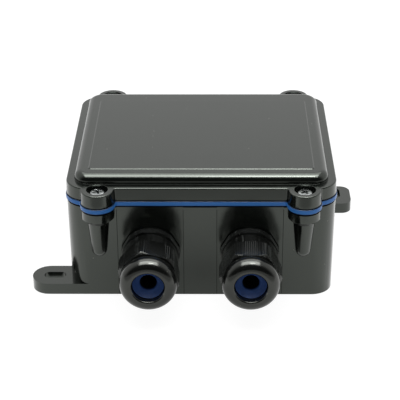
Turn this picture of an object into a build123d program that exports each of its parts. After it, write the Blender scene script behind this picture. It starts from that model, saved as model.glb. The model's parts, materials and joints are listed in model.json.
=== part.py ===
from build123d import *
import math
import os

# Waterproof junction box with a screwed lid, two cable glands and a terminal strip inside.
# Millimetres. Z is up from the underside, X runs along the wide front, and the glands face -Y.

# Box, over the walls at the rim
box_width = 120.0
box_depth = 100.0
base_height = 45.2
corner_radius = 10.0
wall = 3.2
floor_thickness = 3.0
draft = 0.5

# Lid screw bosses, which stand out of the front and rear walls
boss_spacing = 91.0
boss_overhang = 1.0
boss_radius = 7.2
boss_blend = 1.0
boss_height = 3.9
boss_shoulder = 2.3
column_top_radius = 4.8
column_bottom_radius = 3.5
column_length = 14.0

# Lid gasket: a narrow foot, a band that bulges past the walls, and a narrow top
gasket_foot = 0.9
gasket_band = 2.2
gasket_neck = 0.5
gasket_bulge = 0.5
gasket_inset = 0.8
gasket_rounding = 0.3
tongue_width = 1.2
tongue_depth = 1.3
tongue_inset = 0.9
tongue_gap = 0.1

# Lid
flange_thickness = 5.9
flange_overlap = 0.2
flange_rounding = 0.6
lid_draft = 2.0
side_ledge = 3.5
front_ledge = 4.0
plateau_rise = 4.1
plateau_rounding = 3.6
plateau_corner = 7.0
panel_width = 100.4
panel_front = 39.8
panel_rear = 35.0
panel_corner = 1.5
panel_rise = 0.4
lid_roof = 2.8
skirt_thickness = 1.6
skirt_drop = 5.0
skirt_gap = 0.5
pocket_step = 1.7

# Lid screws, their seals and the brass inserts that take them
screw_radius = 1.7
screw_length = 16.0
screw_point = 0.5
screw_head_radius = 3.5
screw_head_height = 2.5
screw_head_rounding = 1.0
cross_length = 4.2
cross_arm = 1.1
cross_depth = 1.6
cross_taper = 8.0
cross_turns = [20.0, 35.0, 10.0, 50.0]
screw_recess_radius = 4.75
screw_recess_depth = 4.3
screw_hole_radius = 2.1
screw_end_gap = 1.0
screw_seal_thickness = 0.7
screw_seal_radius = 3.9
insert_radius = 2.6
insert_gap = 0.03
insert_length = 8.0
insert_sink = 0.6
insert_teeth = 18
insert_notch = 0.4
thread_gap = 0.05

# Fixing ears at two opposite corners
ear_thickness = 5.4
ear_slot_length = 10.0
ear_slot_width = 5.1
front_ear_width = 16.0
front_ear_reach = 77.7
front_slot_inset = 10.3
rear_ear_reach = 75.1
rear_slot_inset = 7.7
rear_slot_setback = 7.5
rear_ear_front = 27.8
rear_ear_back = 46.7
rear_ear_corner = 5.0

# Cable glands
gland_spacing = 44.4
gland_offset = -0.5
gland_height = 22.0
gland_seat_width = 29.5
gland_seat_depth = 0.4
gland_pad = 0.4
gland_pad_height = 38.0
gland_tail_radius = 10.0
gland_tail_length = 12.0
gland_hole_gap = 0.15
washer_thickness = 1.2
washer_radius = 12.4
flange_across_flats = 25.6
flange_corner_radius = 13.3
gland_flange = 3.2
gland_thread_radius = 9.9
gland_thread_length = 10.6
claw_length = 9.0
claw_root_radius = 9.6
claw_tip_radius = 9.0
claw_count = 8
claw_gap = 1.5
gland_bore_radius = 6.6
seal_bore_radius = 3.7
seal_radius = 8.2
seal_length = 17.5
seal_edge = 0.5
seal_gap = 0.1
locknut_across_flats = 24.0
locknut_thickness = 5.0

# Ribbed dome nut of each gland
nut_gap = 1.2
nut_across_flats = 24.0
nut_corner_radius = 14.0
nut_band = 5.6
nut_band_radius = 12.6
nut_ribbed_length = 11.9
nut_neck = 1.9
nut_neck_radius = 11.9
nut_collar = 1.4
nut_dome = 4.4
nut_mouth_radius = 7.1
nut_mouth_edge = 0.5
nut_lip_thickness = 4.5
nut_thread_gap = 0.35
nut_claw_gap = 0.4
nut_seal_gap = 0.3
rib_pitch = 0.88
rib_width = 0.5
rib_height = 0.25
ribs_per_flat = 14
nut_turns = [-16.5, 0.0]

# Terminal strip
poles = 3
pole_pitch = 15.0
tower_width = 9.6
tower_height = 15.5
tower_rounding = 0.8
strip_depth = 20.0
bridge_depth = 11.0
bridge_height = 7.0
barrel_height = 6.6
tube_radius = 3.25
tube_bore_radius = 2.1
tube_length = 16.0
clamp_spacing = 9.6
clamp_screw_radius = 1.7
clamp_head_radius = 2.35
clamp_head_height = 2.2
clamp_well_radius = 2.7
clamp_shank = 3.4
blade_slot = 0.8
blade_slot_depth = 1.0
fixing_screw_radius = 1.45
fixing_screw_length = 12.0
fixing_head_radius = 2.6
fixing_head_height = 2.0
fixing_well_radius = 3.0
post_radius = 3.4
post_height = 6.0
pilot_end_gap = 0.5

# Levels and places that follow from the sizes above
gasket_thickness = gasket_foot + gasket_band + gasket_neck
gasket_top = base_height + gasket_thickness
flange_top = gasket_top + flange_thickness
plateau_top = flange_top + plateau_rise
boss_x = boss_spacing / 2
boss_y = box_depth / 2 + boss_overhang
boss_centres = [(-boss_x, -boss_y), (boss_x, -boss_y), (-boss_x, boss_y), (boss_x, boss_y)]
corner_names = ["front_left", "front_right", "rear_left", "rear_right"]
wall_lean = base_height * math.tan(math.radians(draft))
floor_lean = (base_height - floor_thickness) * math.tan(math.radians(draft))
bottom_width = box_width - 2 * wall_lean
bottom_depth = box_depth - 2 * wall_lean
inner_width = box_width - 2 * wall
inner_depth = box_depth - 2 * wall
inner_corner = corner_radius - wall
recess_floor = flange_top - screw_recess_depth
head_seat = recess_floor + screw_seal_thickness
head_top = head_seat + screw_head_height
insert_top = base_height - insert_sink
screw_well_depth = base_height - head_seat + screw_length + screw_end_gap
gland_seat = box_depth / 2 - gland_seat_depth
pad_face = box_depth / 2 - wall - gland_pad
gland_wall = gland_seat - pad_face
gland_xs = [gland_offset - gland_spacing / 2, gland_offset + gland_spacing / 2]
flange_end = washer_thickness + gland_flange
nut_start = flange_end + nut_gap
nut_rib_start = nut_start + nut_band
nut_rib_end = nut_rib_start + nut_ribbed_length
nut_neck_end = nut_rib_end + nut_neck
nut_dome_start = nut_neck_end + nut_collar
nut_end = nut_dome_start + nut_dome
nut_lip = nut_end - nut_lip_thickness
nut_chamfer = nut_corner_radius - nut_band_radius
claw_start = flange_end + gland_thread_length
claw_end = claw_start + claw_length
seal_end = nut_lip - nut_seal_gap
seal_start = seal_end - seal_length
post_top = floor_thickness + post_height
barrel_z = post_top + barrel_height
bridge_top = post_top + bridge_height
tower_top = post_top + tower_height
clamp_tip_z = barrel_z + tube_bore_radius
clamp_head_z = clamp_tip_z + clamp_shank
pole_xs = [(i - (poles - 1) / 2) * pole_pitch for i in range(poles)]
fixing_xs = [(a + b) / 2 for a, b in zip(pole_xs, pole_xs[1:])]
clamp_centres = [(x, y) for x in pole_xs for y in (-clamp_spacing / 2, clamp_spacing / 2)]
strip_width = (poles - 1) * pole_pitch + tower_width
pilot_depth = fixing_screw_length - bridge_height + pilot_end_gap
front_slot = (front_slot_inset - front_ear_reach, front_ear_width / 2 - bottom_depth / 2)
rear_slot = (rear_ear_reach - rear_slot_inset, rear_ear_back - rear_slot_setback)
upright = (Align.CENTER, Align.CENTER, Align.MIN)
hanging = (Align.CENTER, Align.CENTER, Align.MAX)


def boss_distance(corner):
    return min(math.hypot(corner.X - x, corner.Y - y) for x, y in boss_centres)


def outer_outline(grow):
    """The outline of box, gasket and lid: a rounded rectangle with the four screw bosses."""
    with BuildSketch() as outline:
        RectangleRounded(box_width + 2 * grow, box_depth + 2 * grow, corner_radius + grow)
        with Locations(*boss_centres):
            Circle(boss_radius + grow)
        reach = boss_radius + grow + boss_blend / 100
        fillet(vertices().filter_by(lambda corner: boss_distance(corner) < reach), boss_blend)
    return outline.sketch


def opening_outline(grow):
    """The outline of the opening, which steps in round the screw bosses."""
    with BuildSketch() as outline:
        RectangleRounded(inner_width + 2 * grow, inner_depth + 2 * grow, inner_corner + grow)
        with Locations(*boss_centres):
            Circle(boss_radius - grow, mode=Mode.SUBTRACT)
    return outline.sketch


def section(plane, points):
    """A closed outline of straight lines, to be turned about its axis."""
    with BuildSketch(plane) as half:
        with BuildLine():
            Polyline(*points, close=True)
        make_face()
    return half.sketch


def boss_section(x, y):
    """Half the section of a screw boss, with its shoulder and the column down the wall."""
    shoulder_top = base_height - boss_height
    column_top = shoulder_top - boss_shoulder
    column_end = column_top - column_length
    with BuildSketch(Plane(origin=(x, y, 0), x_dir=(1, 0, 0), z_dir=(0, -1, 0))) as half:
        with BuildLine():
            Polyline(
                (0, column_end - column_bottom_radius),
                (0, base_height),
                (boss_radius, base_height),
                (boss_radius, shoulder_top),
                (column_top_radius, column_top),
                (column_bottom_radius, column_end),
            )
            JernArc((column_bottom_radius, column_end), (0, -1), column_bottom_radius, -90)
        make_face()
    return half.sketch


def across_gland(x, out=0.0):
    """A plane across a gland, at a distance out from its seat, with its Z pointing outwards."""
    origin = (x, -gland_seat - out, gland_height)
    return Plane(origin=origin, x_dir=(1, 0, 0), z_dir=(0, -1, 0))


def along_gland(x):
    """The plane through a gland's axis: its X is the radius and its Y the way out."""
    origin = (x, -gland_seat, gland_height)
    return Plane(origin=origin, x_dir=(1, 0, 0), z_dir=(0, 0, -1))


def gland_axis(x):
    return Axis((x, 0, gland_height), (0, -1, 0))


def hexagon(across_flats, turn=0.0):
    """A hexagon with a flat on top, or turned from there."""
    RegularPolygon(across_flats / 2, 6, major_radius=False, rotation=turn)


def dome_section(x):
    """Half the section of the dome nut's front, solid: neck, collar and rounded end."""
    with BuildSketch(along_gland(x)) as half:
        with BuildLine():
            Polyline(
                (nut_band_radius - nut_dome, nut_end),
                (0, nut_end),
                (0, nut_rib_end),
                (nut_neck_radius, nut_rib_end),
                (nut_neck_radius, nut_neck_end),
                (nut_band_radius, nut_neck_end),
                (nut_band_radius, nut_dome_start),
            )
            JernArc((nut_band_radius, nut_dome_start), (0, 1), nut_dome, 90)
        make_face()
    return half.sketch


os.makedirs("parts", exist_ok=True)

# Base: walls, bosses, ears, gland seats and the posts of the terminal strip
with BuildPart() as base:
    with BuildSketch():
        RectangleRounded(bottom_width, bottom_depth, corner_radius - wall_lean)
    extrude(amount=base_height, taper=-draft)
    # front left ear, level with the front face, with its slot along X
    with BuildSketch():
        with Locations((front_ear_width / 2 - front_ear_reach, front_slot[1])):
            Circle(front_ear_width / 2)
            Rectangle(front_ear_reach - front_ear_width / 2 - box_width / 2 + corner_radius,
                      front_ear_width, align=(Align.MIN, Align.CENTER))
    extrude(amount=ear_thickness)
    # rear right ear, with its slot across the first one
    with BuildSketch():
        with Locations((rear_ear_reach, (rear_ear_front + rear_ear_back) / 2)):
            RectangleRounded(rear_ear_reach - box_width / 2 + corner_radius,
                             rear_ear_back - rear_ear_front, rear_ear_corner,
                             align=(Align.MAX, Align.CENTER))
    extrude(amount=ear_thickness)
    with BuildSketch():
        with Locations(front_slot):
            SlotOverall(ear_slot_length, ear_slot_width)
        with Locations(rear_slot):
            SlotOverall(ear_slot_length, ear_slot_width, rotation=90)
    extrude(amount=ear_thickness, mode=Mode.SUBTRACT)
    # the hollow, and the bosses that reach into it
    with BuildSketch(Plane.XY.offset(floor_thickness)):
        RectangleRounded(inner_width - 2 * floor_lean, inner_depth - 2 * floor_lean,
                         inner_corner - floor_lean)
    extrude(amount=base_height - floor_thickness, taper=-draft, mode=Mode.SUBTRACT)
    for x, y in boss_centres:
        revolve(boss_section(x, y), axis=Axis((x, y, 0), (0, 0, 1)))
    # flat seats for the glands outside, and pads for their locknuts inside
    for x in gland_xs:
        with BuildSketch():
            with Locations((x, -gland_seat)):
                Rectangle(gland_seat_width, wall, align=(Align.CENTER, Align.MAX))
        extrude(amount=base_height, mode=Mode.SUBTRACT)
        with BuildSketch():
            with Locations((x, -pad_face)):
                Rectangle(gland_seat_width, wall / 2, align=(Align.CENTER, Align.MAX))
        extrude(amount=gland_pad_height)
        with BuildSketch(across_gland(x)):
            Circle(gland_tail_radius + gland_hole_gap)
        extrude(amount=-2 * wall, mode=Mode.SUBTRACT)
    # posts of the terminal strip, with their pilot holes
    with BuildSketch(Plane.XY.offset(floor_thickness)):
        with Locations(*[(x, 0) for x in fixing_xs]):
            Circle(post_radius)
    extrude(amount=post_height)
    with Locations(*[(x, 0, post_top) for x in fixing_xs]):
        Hole(fixing_screw_radius + thread_gap, depth=pilot_depth)
    # groove for the gasket's tongue, and stepped holes for the inserts and the screws' ends
    with BuildSketch(Plane.XY.offset(base_height)):
        add(opening_outline(tongue_inset + tongue_width + tongue_gap))
        add(opening_outline(tongue_inset - tongue_gap), mode=Mode.SUBTRACT)
    extrude(amount=-tongue_depth - tongue_gap, mode=Mode.SUBTRACT)
    with Locations(*[(x, y, base_height) for x, y in boss_centres]):
        CounterBoreHole(screw_hole_radius, insert_radius + insert_gap,
                        insert_sink + insert_length, depth=screw_well_depth)
base.part.label = "base"
export_step(base.part, "parts/base.step")

# Gasket: the soft band between base and lid, with a tongue in the groove of the rim
with BuildPart() as gasket:
    with BuildSketch(Plane.XY.offset(base_height + gasket_foot)):
        add(outer_outline(gasket_bulge))
    extrude(amount=gasket_band)
    fillet(edges().group_by(Axis.Z)[0] + edges().group_by(Axis.Z)[-1], gasket_rounding)
    with BuildSketch(Plane.XY.offset(base_height)):
        add(outer_outline(-gasket_inset))
    extrude(amount=gasket_thickness)
    with BuildSketch(Plane.XY.offset(base_height)):
        add(opening_outline(tongue_inset + tongue_width))
    extrude(amount=-tongue_depth)
    with BuildSketch(Plane.XY.offset(base_height)):
        add(opening_outline(tongue_inset))
    extrude(amount=-tongue_depth, mode=Mode.SUBTRACT)
    with BuildSketch(Plane.XY.offset(base_height)):
        add(opening_outline(0))
    extrude(amount=gasket_thickness, mode=Mode.SUBTRACT)
    with Locations(*[(x, y, gasket_top) for x, y in boss_centres]):
        Hole(screw_hole_radius, depth=gasket_thickness)
gasket.part.label = "gasket"
export_step(gasket.part, "parts/gasket.step")

# Lid: flange with the screw recesses, raised plateau, shallow panel, and the skirt inside
with BuildPart() as lid:
    with BuildSketch(Plane.XY.offset(gasket_top)):
        add(outer_outline(flange_overlap))
    extrude(amount=flange_thickness, taper=lid_draft)
    fillet(edges().group_by(Axis.Z)[-1], flange_rounding)
    with BuildSketch(Plane.XY.offset(flange_top)):
        RectangleRounded(box_width - 2 * side_ledge, box_depth - 2 * front_ledge, plateau_corner)
    extrude(amount=plateau_rise)
    fillet(edges().group_by(Axis.Z)[-1], plateau_rounding)
    with BuildSketch(Plane.XY.offset(plateau_top)):
        with Locations((0, (panel_rear - panel_front) / 2)):
            RectangleRounded(panel_width, panel_front + panel_rear, panel_corner)
    extrude(amount=panel_rise)
    fillet(edges().group_by(Axis.Z)[-1], panel_rise / 2)
    with BuildSketch(Plane.XY.offset(gasket_top)):
        add(opening_outline(-skirt_gap))
    extrude(amount=-skirt_drop)
    with BuildSketch(Plane.XY.offset(gasket_top)):
        add(opening_outline(-skirt_gap - skirt_thickness))
    extrude(amount=-skirt_drop, mode=Mode.SUBTRACT)
    with BuildSketch(Plane.XY.offset(gasket_top)):
        add(opening_outline(-skirt_gap - skirt_thickness - pocket_step))
    extrude(amount=plateau_top - lid_roof - gasket_top, mode=Mode.SUBTRACT)
    with Locations(*[(x, y, flange_top) for x, y in boss_centres]):
        CounterBoreHole(screw_hole_radius, screw_recess_radius, screw_recess_depth)
lid.part.label = "lid"
export_step(lid.part, "parts/lid.step")

# Lid screws with a cross recess, and the soft seals under their heads
for (x, y), corner, turn in zip(boss_centres, corner_names, cross_turns):
    with BuildPart() as lid_screw:
        with BuildSketch(Plane.XY.offset(head_seat)):
            with Locations((x, y)):
                Circle(screw_head_radius)
        extrude(amount=screw_head_height)
        fillet(edges().group_by(Axis.Z)[-1], screw_head_rounding)
        with BuildSketch(Plane.XY.offset(head_seat)):
            with Locations((x, y)):
                Circle(screw_radius)
        extrude(amount=-screw_length)
        chamfer(edges().group_by(Axis.Z)[0], screw_point)
        with BuildSketch(Plane.XY.offset(head_top)):
            with Locations((x, y)):
                Rectangle(cross_length, cross_arm, rotation=turn)
                Rectangle(cross_arm, cross_length, rotation=turn)
        extrude(amount=-cross_depth, taper=cross_taper, mode=Mode.SUBTRACT)
    lid_screw.part.label = f"lid_screw_{corner}"
    export_step(lid_screw.part, f"parts/{lid_screw.part.label}.step")

    with BuildPart() as screw_seal:
        with BuildSketch(Plane.XY.offset(recess_floor)):
            with Locations((x, y)):
                Circle(screw_seal_radius)
                Circle(screw_radius + thread_gap, mode=Mode.SUBTRACT)
        extrude(amount=screw_seal_thickness)
    screw_seal.part.label = f"screw_seal_{corner}"
    export_step(screw_seal.part, f"parts/{screw_seal.part.label}.step")

# Brass inserts in the bosses, knurled so that they hold in the plastic
with BuildPart() as threaded_inserts:
    for x, y in boss_centres:
        with BuildSketch(Plane.XY.offset(insert_top)):
            with Locations((x, y)):
                Circle(insert_radius)
                Circle(screw_radius + thread_gap, mode=Mode.SUBTRACT)
                with PolarLocations(insert_radius, insert_teeth):
                    Rectangle(insert_notch, insert_notch, rotation=45, mode=Mode.SUBTRACT)
        extrude(amount=-insert_length)
threaded_inserts.part.label = "threaded_inserts"
export_step(threaded_inserts.part, "parts/threaded_inserts.step")

# Cable glands
for x, side, turn in zip(gland_xs, ["left", "right"], nut_turns):
    # body: tail through the wall, six-sided flange, thread, and claws that close on the seal
    with BuildPart() as gland_body:
        with BuildSketch(across_gland(x, washer_thickness)):
            hexagon(flange_across_flats)
            Circle(flange_corner_radius, mode=Mode.INTERSECT)
        extrude(amount=gland_flange)
        revolve(section(along_gland(x), [
            (0, -gland_tail_length),
            (gland_tail_radius, -gland_tail_length),
            (gland_tail_radius, flange_end),
            (gland_thread_radius, flange_end),
            (gland_thread_radius, claw_start),
            (claw_root_radius, claw_start),
            (claw_tip_radius, claw_end),
            (0, claw_end),
        ]), axis=gland_axis(x))
        with BuildSketch(across_gland(x, -gland_tail_length)):
            Circle(gland_bore_radius)
        extrude(amount=gland_tail_length + claw_end, mode=Mode.SUBTRACT)
        with BuildSketch(across_gland(x, seal_start)):
            Circle(seal_radius + seal_gap)
        extrude(amount=seal_length, mode=Mode.SUBTRACT)
        with BuildSketch(across_gland(x, claw_start)):
            with PolarLocations(0, claw_count // 2, angular_range=180):
                Rectangle(3 * claw_root_radius, claw_gap)
        extrude(amount=claw_length, mode=Mode.SUBTRACT)
    gland_body.part.label = f"{side}_gland_body"
    export_step(gland_body.part, f"parts/{gland_body.part.label}.step")

    with BuildPart() as gland_washer:
        with BuildSketch(across_gland(x)):
            Circle(washer_radius)
            Circle(gland_tail_radius + thread_gap, mode=Mode.SUBTRACT)
        extrude(amount=washer_thickness)
    gland_washer.part.label = f"{side}_gland_washer"
    export_step(gland_washer.part, f"parts/{gland_washer.part.label}.step")

    with BuildPart() as locknut:
        with BuildSketch(across_gland(x, -gland_wall)):
            hexagon(locknut_across_flats)
            Circle(gland_tail_radius + thread_gap, mode=Mode.SUBTRACT)
        extrude(amount=-locknut_thickness)
    locknut.part.label = f"{side}_locknut"
    export_step(locknut.part, f"parts/{locknut.part.label}.step")

    with BuildPart() as cable_seal:
        revolve(section(along_gland(x), [
            (seal_bore_radius, seal_start),
            (seal_radius, seal_start),
            (seal_radius, seal_end),
            (seal_bore_radius + seal_edge, seal_end),
            (seal_bore_radius, seal_end - seal_edge),
        ]), axis=gland_axis(x))
    cable_seal.part.label = f"{side}_cable_seal"
    export_step(cable_seal.part, f"parts/{cable_seal.part.label}.step")

    # dome nut: ribbed hexagon with cut corners, a smooth band behind it and the dome in front
    with BuildPart() as dome_nut:
        with BuildSketch(across_gland(x, nut_rib_start)):
            hexagon(nut_across_flats, turn)
            with PolarLocations(nut_across_flats / 2, 6, start_angle=30 + turn):
                with GridLocations(1, rib_pitch, 1, ribs_per_flat):
                    Rectangle(2 * rib_height, rib_width)
        extrude(amount=nut_ribbed_length)
        revolve(section(along_gland(x), [
            (0, nut_rib_start),
            (nut_band_radius, nut_rib_start),
            (nut_corner_radius, nut_rib_start + nut_chamfer),
            (nut_corner_radius, nut_rib_end - nut_chamfer),
            (nut_band_radius, nut_rib_end),
            (0, nut_rib_end),
        ]), axis=gland_axis(x), mode=Mode.INTERSECT)
        with BuildSketch(across_gland(x, nut_start)):
            Circle(nut_band_radius)
        extrude(amount=nut_band)
        revolve(dome_section(x), axis=gland_axis(x))
        revolve(section(along_gland(x), [
            (0, nut_start),
            (gland_thread_radius + nut_thread_gap, nut_start),
            (gland_thread_radius + nut_thread_gap, claw_start + nut_gap),
            (claw_tip_radius + nut_claw_gap, claw_end + nut_gap),
            (seal_radius + nut_seal_gap, claw_end + nut_gap),
            (seal_radius + nut_seal_gap, nut_lip),
            (nut_mouth_radius, nut_lip),
            (nut_mouth_radius, nut_end - nut_mouth_edge),
            (nut_mouth_radius + nut_mouth_edge, nut_end),
            (0, nut_end),
        ]), axis=gland_axis(x), mode=Mode.SUBTRACT)
    dome_nut.part.label = f"{side}_dome_nut"
    export_step(dome_nut.part, f"parts/{dome_nut.part.label}.step")

# Terminal strip: moulded towers on a bridge, with a brass tube and two clamp screws a pole
with BuildPart() as terminal_housing:
    with BuildSketch(Plane.XY.offset(post_top)):
        Rectangle(strip_width - 2 * tower_rounding, bridge_depth)
    extrude(amount=bridge_height)
    with BuildSketch(Plane.XZ.offset(-strip_depth / 2)):
        with Locations(*[(x, post_top) for x in pole_xs]):
            Rectangle(tower_width, tower_height, align=(Align.CENTER, Align.MIN))
    extrude(amount=strip_depth)
    fillet(edges().filter_by(Axis.Y).group_by(Axis.Z)[-1], tower_rounding)
    with BuildSketch(Plane.XZ.offset(-strip_depth / 2)):
        with Locations(*[(x, barrel_z) for x in pole_xs]):
            Circle(tube_radius + thread_gap)
    extrude(amount=strip_depth, mode=Mode.SUBTRACT)
    with Locations(*[(x, y, tower_top) for x, y in clamp_centres]):
        Hole(clamp_well_radius, depth=tower_top - barrel_z)
    with Locations(*[(x, 0, tower_top) for x in fixing_xs]):
        CounterBoreHole(fixing_screw_radius + thread_gap, fixing_well_radius,
                        tower_height - bridge_height, depth=tower_height)
terminal_housing.part.label = "terminal_housing"
export_step(terminal_housing.part, "parts/terminal_housing.step")

with BuildPart() as terminal_tubes:
    with BuildSketch(Plane.XZ.offset(-tube_length / 2)):
        with Locations(*[(x, barrel_z) for x in pole_xs]):
            Circle(tube_radius)
            Circle(tube_bore_radius, mode=Mode.SUBTRACT)
    extrude(amount=tube_length)
    with Locations(*[(x, y, barrel_z + tube_radius) for x, y in clamp_centres]):
        Hole(clamp_screw_radius + thread_gap, depth=tube_radius)
terminal_tubes.part.label = "terminal_tubes"
export_step(terminal_tubes.part, "parts/terminal_tubes.step")

with BuildPart() as terminal_clamp_screws:
    with Locations(*[(x, y, clamp_tip_z) for x, y in clamp_centres]):
        Cylinder(clamp_screw_radius, clamp_shank, align=upright)
    with Locations(*[(x, y, clamp_head_z) for x, y in clamp_centres]):
        Cylinder(clamp_head_radius, clamp_head_height, align=upright)
    with Locations(*[(x, y, clamp_head_z + clamp_head_height) for x, y in clamp_centres]):
        Box(blade_slot, 3 * clamp_head_radius, blade_slot_depth, align=hanging,
            mode=Mode.SUBTRACT)
terminal_clamp_screws.part.label = "terminal_clamp_screws"
export_step(terminal_clamp_screws.part, "parts/terminal_clamp_screws.step")

with BuildPart() as terminal_fixing_screws:
    with Locations(*[(x, 0, bridge_top) for x in fixing_xs]):
        Cylinder(fixing_head_radius, fixing_head_height, align=upright)
    fillet(edges().group_by(Axis.Z)[-1], fixing_head_height / 2)
    with Locations(*[(x, 0, bridge_top) for x in fixing_xs]):
        Cylinder(fixing_screw_radius, fixing_screw_length, align=hanging)
    with Locations(*[(x, 0, bridge_top + fixing_head_height) for x in fixing_xs]):
        Box(3 * fixing_head_radius, blade_slot, blade_slot_depth, align=hanging,
            mode=Mode.SUBTRACT)
terminal_fixing_screws.part.label = "terminal_fixing_screws"
export_step(terminal_fixing_screws.part, "parts/terminal_fixing_screws.step")
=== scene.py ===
import json
import math

import bpy
from mathutils import Matrix, Vector


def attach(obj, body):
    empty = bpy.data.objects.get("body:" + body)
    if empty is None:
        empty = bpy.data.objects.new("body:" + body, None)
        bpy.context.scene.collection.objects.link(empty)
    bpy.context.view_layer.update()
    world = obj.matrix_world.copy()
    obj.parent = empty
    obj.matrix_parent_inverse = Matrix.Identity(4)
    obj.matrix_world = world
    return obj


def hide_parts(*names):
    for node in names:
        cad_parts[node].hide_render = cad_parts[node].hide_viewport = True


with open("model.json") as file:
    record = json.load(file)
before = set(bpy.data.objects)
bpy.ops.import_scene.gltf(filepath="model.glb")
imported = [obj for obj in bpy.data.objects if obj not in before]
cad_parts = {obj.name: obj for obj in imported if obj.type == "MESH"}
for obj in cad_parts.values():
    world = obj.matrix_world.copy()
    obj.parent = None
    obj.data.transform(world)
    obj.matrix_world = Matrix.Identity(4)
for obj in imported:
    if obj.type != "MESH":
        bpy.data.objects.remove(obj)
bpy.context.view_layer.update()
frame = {"nodes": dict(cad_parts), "record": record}
nodes = frame["nodes"]
mm = 0.001
bodyOfNode = {node: body for body, members in frame["record"]["behaviour"]["bodies"].items()
              for node in members}
slotOfNode = {part["node"]: part["material_slot"] for part in frame["record"]["subparts"]}
corners = ("front_left", "front_right", "rear_left", "rear_right")
sides = ("left", "right")
print("frame loaded:", len(nodes), "nodes")


def deselectAll():
    bpy.ops.object.select_all(action="DESELECT")


def linearFromHex(code):
    channels = [int(code[i:i + 2], 16) / 255 for i in (1, 3, 5)]
    return [c / 12.92 if c <= 0.04045 else ((c + 0.055) / 1.055) ** 2.4 for c in channels] + [1.0]


def addNode(tree, kind, settings=None, links=None):
    # settings go to a socket by name or number, or else to the node itself
    node = tree.nodes.new(kind)
    for name, value in (settings or {}).items():
        if isinstance(name, int) or name in node.inputs:
            node.inputs[name].default_value = value
        else:
            setattr(node, name, value)
    for name, source in (links or {}).items():
        tree.links.new(source, node.inputs[name])
    return node


def newMaterial(name):
    material = bpy.data.materials.new(name)
    material.use_nodes = True
    tree = material.node_tree
    tree.nodes.clear()
    surface = addNode(tree, "ShaderNodeBsdfPrincipled")
    addNode(tree, "ShaderNodeOutputMaterial", links={"Surface": surface.outputs[0]})
    return material, tree, surface


# Camera: the photograph's viewing angle, found from the box's edges
cameraView = {
    "place": (6.43, -573.09, 328.58),   # mm
    "down": 28.124,                     # degrees below level
    "turn": 0.754,                      # degrees about Z
    "roll": -0.31,                      # degrees about the view
    "lens": 121.46,                     # mm
    "sensor": 36,                       # mm
    "clip": (0.01, 20),                 # m
}


def makeCamera():
    data = bpy.data.cameras.new("photoCamera")
    data.lens = cameraView["lens"]
    data.sensor_width = cameraView["sensor"]
    data.clip_start, data.clip_end = cameraView["clip"]
    camera = bpy.data.objects.new("photoCamera", data)
    bpy.context.scene.collection.objects.link(camera)
    place = Matrix.Translation(Vector(cameraView["place"]) * mm)
    turn = Matrix.Rotation(math.radians(cameraView["turn"]), 4, "Z")
    tilt = Matrix.Rotation(math.radians(90 - cameraView["down"]), 4, "X")
    roll = Matrix.Rotation(math.radians(cameraView["roll"]), 4, "Z")
    camera.matrix_world = place @ turn @ tilt @ roll
    bpy.context.scene.camera = camera
    print("camera set")


# Studio: a white floor and backdrop, a dim room in front and a large soft lamp overhead. The
# lamp's bright middle and a small spark are lamps of their own that only gloss shows. Places and
# sizes are in metres
studio = {
    "floorSize": 6.0,
    "floorColour": "#7E7E7E",
    "floorRoughness": 0.9,
    "floorGlow": 0.93,             # what the camera sees of the floor without light
    # a painted shadow: the floor's glow, as gloss shows it, is dimmed in a patch just before the
    # box
    "floorGloss": (0.62, 1.23),    # the same, as gloss shows it, before the box and farther off
    "glossShadowMiddle": (0, -0.07, 0),  # of the darker patch that gloss shows before the box
    "glossShadowReach": 0.07,            # radius of that patch
    "glossEnd": (-0.160, -0.128),  # as Y, where gloss shows the floor dimmed and in full
    "glossDimmed": 0.45,           # share of the floor's gloss that is left there
    "ambient": 0.30,               # light from all round, seen by nothing
    "frontRoom": 0.03,             # what gloss shows of the room in front
    "frontEdge": (-0.60, 0.00),    # how far round, as the Y of a direction, the backdrop fades
    "softbox": {"place": (0, 0.12, 0.86), "size": (0.95, 1.0), "watts": 6.4},
    "softboxMiddle": {"place": (0, -0.18, 0.81), "size": (0.90, 0.56), "watts": 10.5,
                      "glossOnly": True},
    "spark": {"place": (0.09, -0.26, 0.76), "size": (0.20, 0.13), "watts": 1.4,
              "glossOnly": True},
    "target": (0, 0, 0.03),        # what the lamps point at
}
white = (1, 1, 1, 1)


def makeLamp(name, place, size, watts, glossOnly=False):
    data = bpy.data.lights.new(name, "AREA")
    data.shape = "RECTANGLE"
    data.size, data.size_y = size
    data.energy = watts
    lamp = bpy.data.objects.new(name, data)
    bpy.context.scene.collection.objects.link(lamp)
    lamp.location = place
    lamp.rotation_mode = "QUATERNION"
    aim = Vector(studio["target"]) - Vector(place)
    lamp.rotation_quaternion = aim.to_track_quat("-Z", "Y")
    lamp.visible_diffuse = not glossOnly


def seenByGloss(tree, path):
    return addNode(tree, "ShaderNodeMath", {"operation": "MAXIMUM"},
                   {0: path.outputs["Is Glossy Ray"], 1: path.outputs["Is Transmission Ray"]})


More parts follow.
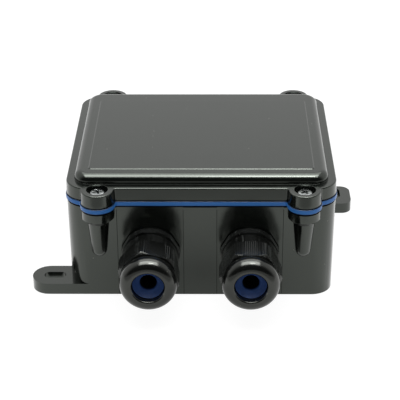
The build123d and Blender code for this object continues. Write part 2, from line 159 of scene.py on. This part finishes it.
def makeWorld():
    world = bpy.data.worlds.new("whiteRoom")
    bpy.context.scene.world = world
    world.use_nodes = True
    tree = world.node_tree
    tree.nodes.clear()
    path = addNode(tree, "ShaderNodeLightPath")
    direction = addNode(tree, "ShaderNodeTexCoord")
    axes = addNode(tree, "ShaderNodeSeparateXYZ", links={0: direction.outputs["Generated"]})
    backdrop = addNode(tree, "ShaderNodeMapRange",
                       {"interpolation_type": "SMOOTHSTEP", "From Min": studio["frontEdge"][0],
                        "From Max": studio["frontEdge"][1], "To Min": studio["frontRoom"]},
                       {"Value": axes.outputs["Y"]})
    strength = addNode(tree, "ShaderNodeMath", {"operation": "MAXIMUM"},
                       {0: backdrop.outputs[0], 1: path.outputs["Is Camera Ray"]})
    room = addNode(tree, "ShaderNodeBackground", {"Color": white},
                   {"Strength": strength.outputs[0]})
    gloss = seenByGloss(tree, path)
    seen = addNode(tree, "ShaderNodeMath", {"operation": "MAXIMUM"},
                   {0: path.outputs["Is Camera Ray"], 1: gloss.outputs[0]})
    ambient = addNode(tree, "ShaderNodeBackground",
                      {"Color": white, "Strength": studio["ambient"]})
    both = addNode(tree, "ShaderNodeMixShader",
                   links={0: seen.outputs[0], 1: ambient.outputs[0], 2: room.outputs[0]})
    addNode(tree, "ShaderNodeOutputWorld", links={"Surface": both.outputs[0]})


def makeFloor():
    deselectAll()
    bpy.ops.mesh.primitive_plane_add(size=studio["floorSize"])
    floor = bpy.context.object
    floor.name = "studioFloor"
    material, tree, surface = newMaterial("paperSweep")
    path = addNode(tree, "ShaderNodeLightPath")
    gloss = seenByGloss(tree, path)
    place = addNode(tree, "ShaderNodeTexCoord")
    # painted shadow: the floor's gloss glow grows from a dim patch just before the box
    far = addNode(tree, "ShaderNodeVectorMath",
                  {"operation": "DISTANCE", 1: studio["glossShadowMiddle"]},
                  {0: place.outputs["Object"]})
    glossShadow = addNode(tree, "ShaderNodeMapRange",
                    {"From Max": studio["glossShadowReach"], "To Min": studio["floorGloss"][0],
                     "To Max": studio["floorGloss"][1]}, {"Value": far.outputs["Value"]})
    axes = addNode(tree, "ShaderNodeSeparateXYZ", links={0: place.outputs["Object"]})
    end = addNode(tree, "ShaderNodeMapRange",
                  {"interpolation_type": "SMOOTHSTEP", "From Min": studio["glossEnd"][0],
                   "From Max": studio["glossEnd"][1], "To Min": studio["glossDimmed"]},
                  {"Value": axes.outputs["Y"]})
    fade = addNode(tree, "ShaderNodeMath", {"operation": "MULTIPLY"},
                   {0: glossShadow.outputs[0], 1: end.outputs[0]})
    glossGlow = addNode(tree, "ShaderNodeMath", {"operation": "MULTIPLY"},
                        {0: gloss.outputs[0], 1: fade.outputs[0]})
    glow = addNode(tree, "ShaderNodeMath", {"operation": "MULTIPLY_ADD", 1: studio["floorGlow"]},
                   {0: path.outputs["Is Camera Ray"], 2: glossGlow.outputs[0]})
    surface.inputs["Base Color"].default_value = linearFromHex(studio["floorColour"])
    surface.inputs["Roughness"].default_value = studio["floorRoughness"]
    surface.inputs["Specular IOR Level"].default_value = 0.0
    surface.inputs["Emission Color"].default_value = white
    tree.links.new(glow.outputs[0], surface.inputs["Emission Strength"])
    floor.data.materials.append(material)


def makeStudio():
    makeWorld()
    makeFloor()
    for name in ("softbox", "softboxMiddle", "spark"):
        makeLamp(name, **studio[name])
    print("studio made")


# Lengths in the looks are in mm: the grain's size, the bump's depth and a painted shade's places
# along an axis, first where it begins and then where it is full

# Moulded ABS of box and lid: near black, dense and smooth from a fine mould, so that its gloss
# mirrors the room softly and its colour hardly shows
mouldedAbs = {"dark": "#0E110F", "light": "#161917", "tint": "#F2FBF0", "roughness": 0.155,
              "ior": 1.59, "grain": 0.7, "depth": 0.002, "dust": 0.5}
# Moulded nylon of the glands: black and a little oily, with a soft wide shine, and ribs whose
# crests are painted paler: partly rubbing wear, partly a painted highlight where the crests catch
# the light
mouldedNylon = {"dark": "#101110", "light": "#191A19", "tint": "#F6FAF2", "roughness": 0.16,
                "ior": 1.53, "grain": 0.5, "depth": 0.001, "dust": 0.5, "crest": "#3E403F",
                "crestFrom": 0.52, "crestTo": 0.60}
# Silicone rubber of the gasket: even, saturated and satin, with painted shade along both edges,
# where the lid's rim above and the base's rim below shade it
blueSilicone = {"dark": "#3C88E0", "light": "#4A98F2", "tint": "#FFFFFF", "roughness": 0.35,
                "ior": 1.41, "grain": 0.6, "depth": 0.004, "paintedShadeColour": "#0E2440",
                "paintedShades": [("Z", 47.95, 48.3), ("Z", 46.5, 46.2)]}
# Chloroprene rubber of the cable seals: a greyer blue, nearly matt, with painted shade darkening
# its bore
blueSeal = {"dark": "#264680", "light": "#345899", "tint": "#FFFFFF", "roughness": 0.65,
            "ior": 1.40, "grain": 0.8, "depth": 0.006, "paintedShadeColour": "#04060C",
            "paintedShades": [("Y", -75.4, -74.0)]}
# Black rubber of washers and screw seals: matt, with a faint bloom
blackRubber = {"dark": "#0B0B0B", "light": "#161616", "tint": "#FFFFFF", "roughness": 0.60,
               "ior": 1.5, "grain": 0.6, "depth": 0.006}
# Natural nylon of the terminal strip: milky and slightly warm
naturalNylon = {"dark": "#BDB8A8", "light": "#CCC8BA", "tint": "#FFFFFF", "roughness": 0.40,
                "ior": 1.53, "grain": 0.6, "depth": 0.003}
# The faint clouds of every moulding, over which its roughness varies by these shares
mouldClouds = {"size": 12, "detail": 4.0, "fineness": 0.6, "grainDetail": 2.0,
               "unevenness": (0.8, 1.25)}
# Specks of dust in a share of the cells of a pattern (mm)
dust = {"colour": "#9A9D93", "apart": 5.0, "radius": 0.16}


def mixColours(tree, factor, first, second):
    # each colour is a hex code or the output of another mix
    mix = addNode(tree, "ShaderNodeMix", {"data_type": "RGBA"}, {0: factor})
    for number, colour in ((6, first), (7, second)):
        if isinstance(colour, str):
            mix.inputs[number].default_value = linearFromHex(colour)
        else:
            tree.links.new(colour, mix.inputs[number])
    return mix.outputs[2]


def dustSpots(tree, place, share):
    # a small spot in the middle of a few cells
    cells = addNode(tree, "ShaderNodeTexVoronoi", {"Scale": 1 / (dust["apart"] * mm)},
                    {"Vector": place.outputs["Object"]})
    draw = addNode(tree, "ShaderNodeSeparateColor", links={0: cells.outputs["Color"]})
    chosen = addNode(tree, "ShaderNodeMath", {"operation": "LESS_THAN", 1: share},
                     {0: draw.outputs[0]})
    near = addNode(tree, "ShaderNodeMath",
                   {"operation": "LESS_THAN", 1: dust["radius"] / dust["apart"]},
                   {0: cells.outputs["Distance"]})
    both = addNode(tree, "ShaderNodeMath", {"operation": "MULTIPLY"},
                   {0: chosen.outputs[0], 1: near.outputs[0]})
    return both.outputs[0]


# The mould's seams: narrow lines down both sides of each gland's seat where the gloss is dimmed,
# painted shade for grooves that the mesh does not have (mm)
seams = {"seats": (-22.7, 21.7), "halfWidth": 14.75, "groove": 0.24, "front": -49.0, "top": 44.0,
         "shine": (0.5, 0.15)}      # beside a groove and in it


def seamMask(tree, place):
    axes = addNode(tree, "ShaderNodeSeparateXYZ", links={0: place.outputs["Object"]})
    near = []
    for seat in seams["seats"]:
        across = addNode(tree, "ShaderNodeMath", {"operation": "SUBTRACT", 1: seat * mm},
                         {0: axes.outputs["X"]})
        across = addNode(tree, "ShaderNodeMath", {"operation": "ABSOLUTE"},
                         {0: across.outputs[0]})
        near.append(addNode(tree, "ShaderNodeMath",
                            {"operation": "COMPARE", 1: seams["halfWidth"] * mm,
                             2: seams["groove"] / 2 * mm}, {0: across.outputs[0]}))
    mask = addNode(tree, "ShaderNodeMath", {"operation": "MAXIMUM"},
                   {0: near[0].outputs[0], 1: near[1].outputs[0]})
    for axis, limit in (("Y", "front"), ("Z", "top")):
        below = addNode(tree, "ShaderNodeMath", {"operation": "LESS_THAN", 1: seams[limit] * mm},
                        {0: axes.outputs[axis]})
        mask = addNode(tree, "ShaderNodeMath", {"operation": "MULTIPLY"},
                       {0: mask.outputs[0], 1: below.outputs[0]})
    return mask.outputs[0]


def mouldedMaterial(name, look, seamed=False):
    material, tree, surface = newMaterial(name)
    place = addNode(tree, "ShaderNodeTexCoord")
    # painted shade: the gloss is dimmed along the seam lines
    if seamed:
        shine = addNode(tree, "ShaderNodeMapRange",
                        {"To Min": seams["shine"][0], "To Max": seams["shine"][1]},
                        {"Value": seamMask(tree, place)})
        tree.links.new(shine.outputs[0], surface.inputs["Specular IOR Level"])
    cloud = addNode(tree, "ShaderNodeTexNoise",
                    {"Scale": 1 / (mouldClouds["size"] * mm), "Detail": mouldClouds["detail"],
                     "Roughness": mouldClouds["fineness"]}, {"Vector": place.outputs["Object"]})
    colour = mixColours(tree, cloud.outputs["Fac"], look["dark"], look["light"])
    # painted highlight on the rib crests, partly also rubbing wear: paler where the surface is
    # pointier
    if "crest" in look:
        shape = addNode(tree, "ShaderNodeNewGeometry")
        crest = addNode(tree, "ShaderNodeMapRange",
                        {"From Min": look["crestFrom"], "From Max": look["crestTo"]},
                        {"Value": shape.outputs["Pointiness"]})
        colour = mixColours(tree, crest.outputs[0], colour, look["crest"])
    # painted shade: the colour darkens along an axis towards the painted shade colour
    for axis, begin, full in look.get("paintedShades", []):
        axes = addNode(tree, "ShaderNodeSeparateXYZ", links={0: place.outputs["Object"]})
        shade = addNode(tree, "ShaderNodeMapRange",
                        {"From Min": begin * mm, "From Max": full * mm},
                        {"Value": axes.outputs[axis]})
        colour = mixColours(tree, shade.outputs[0], colour, look["paintedShadeColour"])
    if "dust" in look:
        colour = mixColours(tree, dustSpots(tree, place, look["dust"]), colour, dust["colour"])
    tree.links.new(colour, surface.inputs["Base Color"])
    smoothest, roughest = mouldClouds["unevenness"]
    rough = addNode(tree, "ShaderNodeMapRange",
                    {"To Min": look["roughness"] * smoothest,
                     "To Max": look["roughness"] * roughest}, {"Value": cloud.outputs["Fac"]})
    tree.links.new(rough.outputs[0], surface.inputs["Roughness"])
    grain = addNode(tree, "ShaderNodeTexNoise",
                    {"Scale": 1 / (look["grain"] * mm), "Detail": mouldClouds["grainDetail"]},
                    {"Vector": place.outputs["Object"]})
    bump = addNode(tree, "ShaderNodeBump", {"Strength": 1.0, "Distance": look["depth"] * mm},
                   {"Height": grain.outputs["Fac"]})
    tree.links.new(bump.outputs[0], surface.inputs["Normal"])
    surface.inputs["IOR"].default_value = look["ior"]
    surface.inputs["Specular Tint"].default_value = linearFromHex(look["tint"])
    return material


# Zinc plated steel: a bright bluish skin with fine turning marks
zincSteel = {"dark": "#8C8F8F", "light": "#B4B7B7", "roughness": 0.19, "marks": 0.35,
             "depth": 0.004}
# Turned brass: warm, with the tool's marks round it
turnedBrass = {"dark": "#A98443", "light": "#CBA963", "roughness": 0.26, "marks": 0.30,
               "depth": 0.004}
# The clouds of both metals, and how far the turning marks stretch round a piece
metalClouds = {"size": 1.6, "detail": 4.0, "marksDetail": 2.0, "unevenness": (0.7, 1.4),
               "stretch": (0.2, 0.2, 1.0)}


def metalMaterial(name, look):
    material, tree, surface = newMaterial(name)
    place = addNode(tree, "ShaderNodeTexCoord")
    cloud = addNode(tree, "ShaderNodeTexNoise",
                    {"Scale": 1 / (metalClouds["size"] * mm), "Detail": metalClouds["detail"]},
                    {"Vector": place.outputs["Object"]})
    colour = mixColours(tree, cloud.outputs["Fac"], look["dark"], look["light"])
    tree.links.new(colour, surface.inputs["Base Color"])
    smoothest, roughest = metalClouds["unevenness"]
    rough = addNode(tree, "ShaderNodeMapRange",
                    {"To Min": look["roughness"] * smoothest,
                     "To Max": look["roughness"] * roughest}, {"Value": cloud.outputs["Fac"]})
    tree.links.new(rough.outputs[0], surface.inputs["Roughness"])
    # marks in rings along the turned length, stretched round the piece
    stretch = addNode(tree, "ShaderNodeMapping", {"Scale": metalClouds["stretch"]},
                      {"Vector": place.outputs["Object"]})
    marks = addNode(tree, "ShaderNodeTexNoise",
                    {"Scale": 1 / (look["marks"] * mm), "Detail": metalClouds["marksDetail"]},
                    {"Vector": stretch.outputs[0]})
    bump = addNode(tree, "ShaderNodeBump", {"Strength": 1.0, "Distance": look["depth"] * mm},
                   {"Height": marks.outputs["Fac"]})
    tree.links.new(bump.outputs[0], surface.inputs["Normal"])
    surface.inputs["Metallic"].default_value = 1.0
    return material


finishes = {
    "dark_abs": mouldedMaterial("mouldedAbs", mouldedAbs),
    "black_nylon": mouldedMaterial("mouldedNylon", mouldedNylon),
    "blue_rubber": mouldedMaterial("blueSilicone", blueSilicone),
    "black_rubber": mouldedMaterial("blackRubber", blackRubber),
    "pale_nylon": mouldedMaterial("naturalNylon", naturalNylon),
    "zinc_steel": metalMaterial("zincPlatedSteel", zincSteel),
    "brass_insert": metalMaterial("turnedBrass", turnedBrass),
}
sealFinish = mouldedMaterial("blueSealRubber", blueSeal)
baseFinish = mouldedMaterial("mouldedAbsBase", mouldedAbs, seamed=True)
print("finishes made")


def finishOf(node):
    if node == "base":
        return baseFinish
    return sealFinish if node.endswith("cable_seal") else finishes[slotOfNode[node]]


# No moulded or turned edge is sharp: the radius of each piece's edges in mm
edgeRounding = {
    "base": 0.15, "gasket": 0.12, "lid": 0.20, "lid_screw": 0.10, "screw_seal": 0.12,
    "threaded_inserts": 0.06, "gland_body": 0.30, "gland_washer": 0.20, "locknut": 0.30,
    "cable_seal": 0.25, "dome_nut": 0.10, "terminal_housing": 0.25, "terminal_tubes": 0.12,
    "terminal_clamp_screws": 0.12, "terminal_fixing_screws": 0.12,
}
edgeSteps = 2
edgeAngle = 34           # degrees, above which an edge is taken for a sharp one
mergeWithin = 0.003      # mm
flatWithin = 0.6         # degrees


def roundingOf(node):
    for corner in corners:
        node = node.replace("_" + corner, "")
    for side in sides:
        node = node.replace(side + "_", "")
    return edgeRounding[node]


def copyOfNode(node):
    # a merged copy of the node's mesh, selected and active
    deselectAll()
    piece = bpy.data.objects.new(node + ".shown", nodes[node].data.copy())
    bpy.context.scene.collection.objects.link(piece)
    piece.select_set(True)
    bpy.context.view_layer.objects.active = piece
    piece.data.materials.clear()
    piece.data.materials.append(finishOf(node))
    bpy.ops.object.mode_set(mode="EDIT")
    bpy.ops.mesh.select_all(action="SELECT")
    bpy.ops.mesh.remove_doubles(threshold=mergeWithin * mm)
    bpy.ops.mesh.customdata_custom_splitnormals_clear()
    bpy.ops.mesh.dissolve_limited(angle_limit=math.radians(flatWithin))
    bpy.ops.object.mode_set(mode="OBJECT")
    return piece


def roundEdges(piece, radius):
    bevel = piece.modifiers.new("edges", "BEVEL")
    bevel.width = radius * mm
    bevel.segments = edgeSteps
    bevel.limit_method = "ANGLE"
    bevel.angle_limit = math.radians(edgeAngle)
    bevel.use_clamp_overlap = True
    bpy.ops.object.modifier_apply(modifier=bevel.name)
    bpy.ops.object.shade_smooth_by_angle(angle=math.radians(edgeAngle))
    # large flat faces keep their own shading beside the rounded edges
    weighted = piece.modifiers.new("shading", "WEIGHTED_NORMAL")
    weighted.keep_sharp = True
    bpy.ops.object.modifier_apply(modifier=weighted.name)


# The lid's raised panel ends in a soft slope, which catches the light along its front
panel = {"foot": 58.8, "middle": -2.4, "slope": 0.8, "least": 0.01}    # mm, and run over rise


def slopePanel(piece):
    for vertex in piece.data.vertices:
        rise = vertex.co.z - panel["foot"] * mm
        if rise > panel["least"] * mm:
            run = rise * panel["slope"]
            vertex.co.x -= math.copysign(run, vertex.co.x)
            vertex.co.y -= math.copysign(run, vertex.co.y - panel["middle"] * mm)


# Threads, plain cylinders in the solids: the cylinder shrinks to the root, and a ridge winds
# round it up to the crest (mm; starts are heights for a screw, and distances out from the
# wall's gland seat for a gland)
glandSeat = {"left": (-22.7, -49.6, 22.0), "right": (21.7, -49.6, 22.0)}
screwPlace = {"front_left": (-45.5, -51.0), "front_right": (45.5, -51.0),
              "rear_left": (-45.5, 51.0), "rear_right": (45.5, 51.0)}
threads = {
    "screw": {"plain": 1.7, "root": 1.42, "crest": 1.68, "pitch": 0.6, "turns": 22, "start": 36.2},
    "nut": {"plain": 9.9, "root": 9.45, "crest": 10.1, "pitch": 1.5, "turns": 6, "start": 5.4},
    "tail": {"plain": 10.0, "root": 9.6, "crest": 9.98, "pitch": 1.5, "turns": 7, "start": -11.6},
}
threadSteps = 28
threadMatch = 0.03       # mm, within which a vertex lies on the plain cylinder
# The ridge starts this far inside the root (mm), its foot takes this share of the pitch, and its
# crest this share of the foot
ridgeShape = {"inside": 0.1, "foot": 0.9, "crest": 0.2}


def shrinkCylinder(piece, thread, centre, across):
    # across: the two axes that the cylinder is round in
    for vertex in piece.data.vertices:
        offset = [vertex.co[axis] - centre[axis] * mm for axis in across]
        radius = math.hypot(*offset)
        if abs(radius - thread["plain"] * mm) < threadMatch * mm:
            for axis, value in zip(across, offset):
                vertex.co[axis] = centre[axis] * mm + value / radius * thread["root"] * mm


def threadRidge(name, thread, finish):
    # the ridge's four-sided outline is wound up along Z, from the height of 0
    deselectAll()
    bpy.ops.mesh.primitive_plane_add(size=1, rotation=(math.pi / 2, 0, 0))
    ridge = bpy.context.object
    ridge.name = name
    bpy.ops.object.transform_apply(location=False, rotation=True, scale=False)
    inner = thread["root"] - ridgeShape["inside"]
    middle = (thread["crest"] + inner) / 2 * mm
    foot = ridgeShape["foot"] * thread["pitch"] * mm
    bpy.ops.object.mode_set(mode="EDIT")
    bpy.ops.mesh.delete(type="ONLY_FACE")
    bpy.ops.mesh.select_all(action="SELECT")
    bpy.ops.transform.resize(value=((thread["crest"] - inner) * mm, 1, foot))
    bpy.ops.transform.translate(value=(middle, 0, 0))
    bpy.ops.object.mode_set(mode="OBJECT")
    for vertex in ridge.data.vertices:
        if vertex.co.x > middle:
            vertex.co.z *= ridgeShape["crest"]
    winding = ridge.modifiers.new("winding", "SCREW")
    winding.axis = "Z"
    winding.screw_offset = thread["pitch"] * mm
    winding.iterations = thread["turns"]
    winding.steps = threadSteps
    winding.render_steps = threadSteps
    bpy.ops.object.modifier_apply(modifier=winding.name)
    bpy.ops.object.mode_set(mode="EDIT")
    bpy.ops.mesh.select_all(action="SELECT")
    bpy.ops.mesh.fill_holes(sides=4)
    bpy.ops.mesh.normals_make_consistent(inside=False)
    bpy.ops.object.mode_set(mode="OBJECT")
    bpy.ops.object.shade_smooth_by_angle(angle=math.radians(edgeAngle))
    ridge.data.materials.append(finish)
    return ridge


def placedCopy(ridge, name, matrix, node):
    piece = bpy.data.objects.new(name, ridge.data.copy())
    bpy.context.scene.collection.objects.link(piece)
    piece.data.transform(matrix)
    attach(piece, bodyOfNode[node])


def windThreads():
    ridges = {name: threadRidge(name + "Thread", threads[name],
                                finishes["zinc_steel" if name == "screw" else "black_nylon"])
              for name in threads}
    for corner, (x, y) in screwPlace.items():
        node = "lid_screw_" + corner
        place = Matrix.Translation(Vector((x, y, threads["screw"]["start"])) * mm)
        placedCopy(ridges["screw"], node + ".thread", place, node)
    outwards = Matrix.Rotation(math.pi / 2, 4, "X")
    for side, (x, y, z) in glandSeat.items():
        node = side + "_gland_body"
        for name in ("nut", "tail"):
            place = Matrix.Translation(Vector((x, y - threads[name]["start"], z)) * mm)
            placedCopy(ridges[name], node + "." + name + "Thread", place @ outwards, node)
    for ridge in ridges.values():
        bpy.data.objects.remove(ridge)
    print("threads wound")


# The clamped rubber swells into the nut's mouth, round the cable's hole: a ring, as distances
# from the gland's axis and out from the seal's face (mm)
swelling = {
    "face": 26.0,
    "outline": [(4.3, -0.2), (4.6, 0.03), (5.4, 0.35), (6.2, 0.95), (6.6, 1.5), (6.85, 1.65),
                (6.98, 1.4), (6.98, -0.2)],
    "steps": 72,
    "merge": 0.001,
    "smoothAngle": 50,       # degrees
}


def swellSeals():
    deselectAll()
    bpy.ops.mesh.primitive_circle_add(vertices=len(swelling["outline"]), radius=1)
    ring = bpy.context.object
    for vertex, (away, out) in zip(ring.data.vertices, swelling["outline"]):
        vertex.co = (away * mm, 0, out * mm)
    turning = ring.modifiers.new("turning", "SCREW")
    turning.axis = "Z"
    turning.steps = swelling["steps"]
    turning.render_steps = swelling["steps"]
    turning.use_merge_vertices = True
    turning.merge_threshold = swelling["merge"] * mm
    bpy.ops.object.modifier_apply(modifier=turning.name)
    bpy.ops.object.mode_set(mode="EDIT")
    bpy.ops.mesh.select_all(action="SELECT")
    bpy.ops.mesh.normals_make_consistent(inside=False)
    bpy.ops.object.mode_set(mode="OBJECT")
    bpy.ops.object.shade_smooth_by_angle(angle=math.radians(swelling["smoothAngle"]))
    ring.data.materials.append(sealFinish)
    outwards = Matrix.Rotation(math.pi / 2, 4, "X")
    for side, (x, y, z) in glandSeat.items():
        node = side + "_cable_seal"
        place = Matrix.Translation(Vector((x, y - swelling["face"], z)) * mm)
        placedCopy(ring, node + ".swelling", place @ outwards, node)
    bpy.data.objects.remove(ring)
    print("seals swollen")


def reshape(piece, node):
    if node == "lid":
        slopePanel(piece)
    for corner, (x, y) in screwPlace.items():
        if node == "lid_screw_" + corner:
            shrinkCylinder(piece, threads["screw"], (x, y, 0), (0, 1))
    for side, centre in glandSeat.items():
        if node == side + "_gland_body":
            shrinkCylinder(piece, threads["nut"], centre, (0, 2))
            shrinkCylinder(piece, threads["tail"], centre, (0, 2))


def dressNodes():
    for node in nodes:
        piece = copyOfNode(node)
        reshape(piece, node)
        roundEdges(piece, roundingOf(node))
        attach(piece, bodyOfNode[node])
        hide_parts(node)
    print("edges rounded and nodes dressed")


makeCamera()
makeStudio()
dressNodes()
windThreads()
swellSeals()
bpy.context.scene.view_settings.view_transform = "Standard"
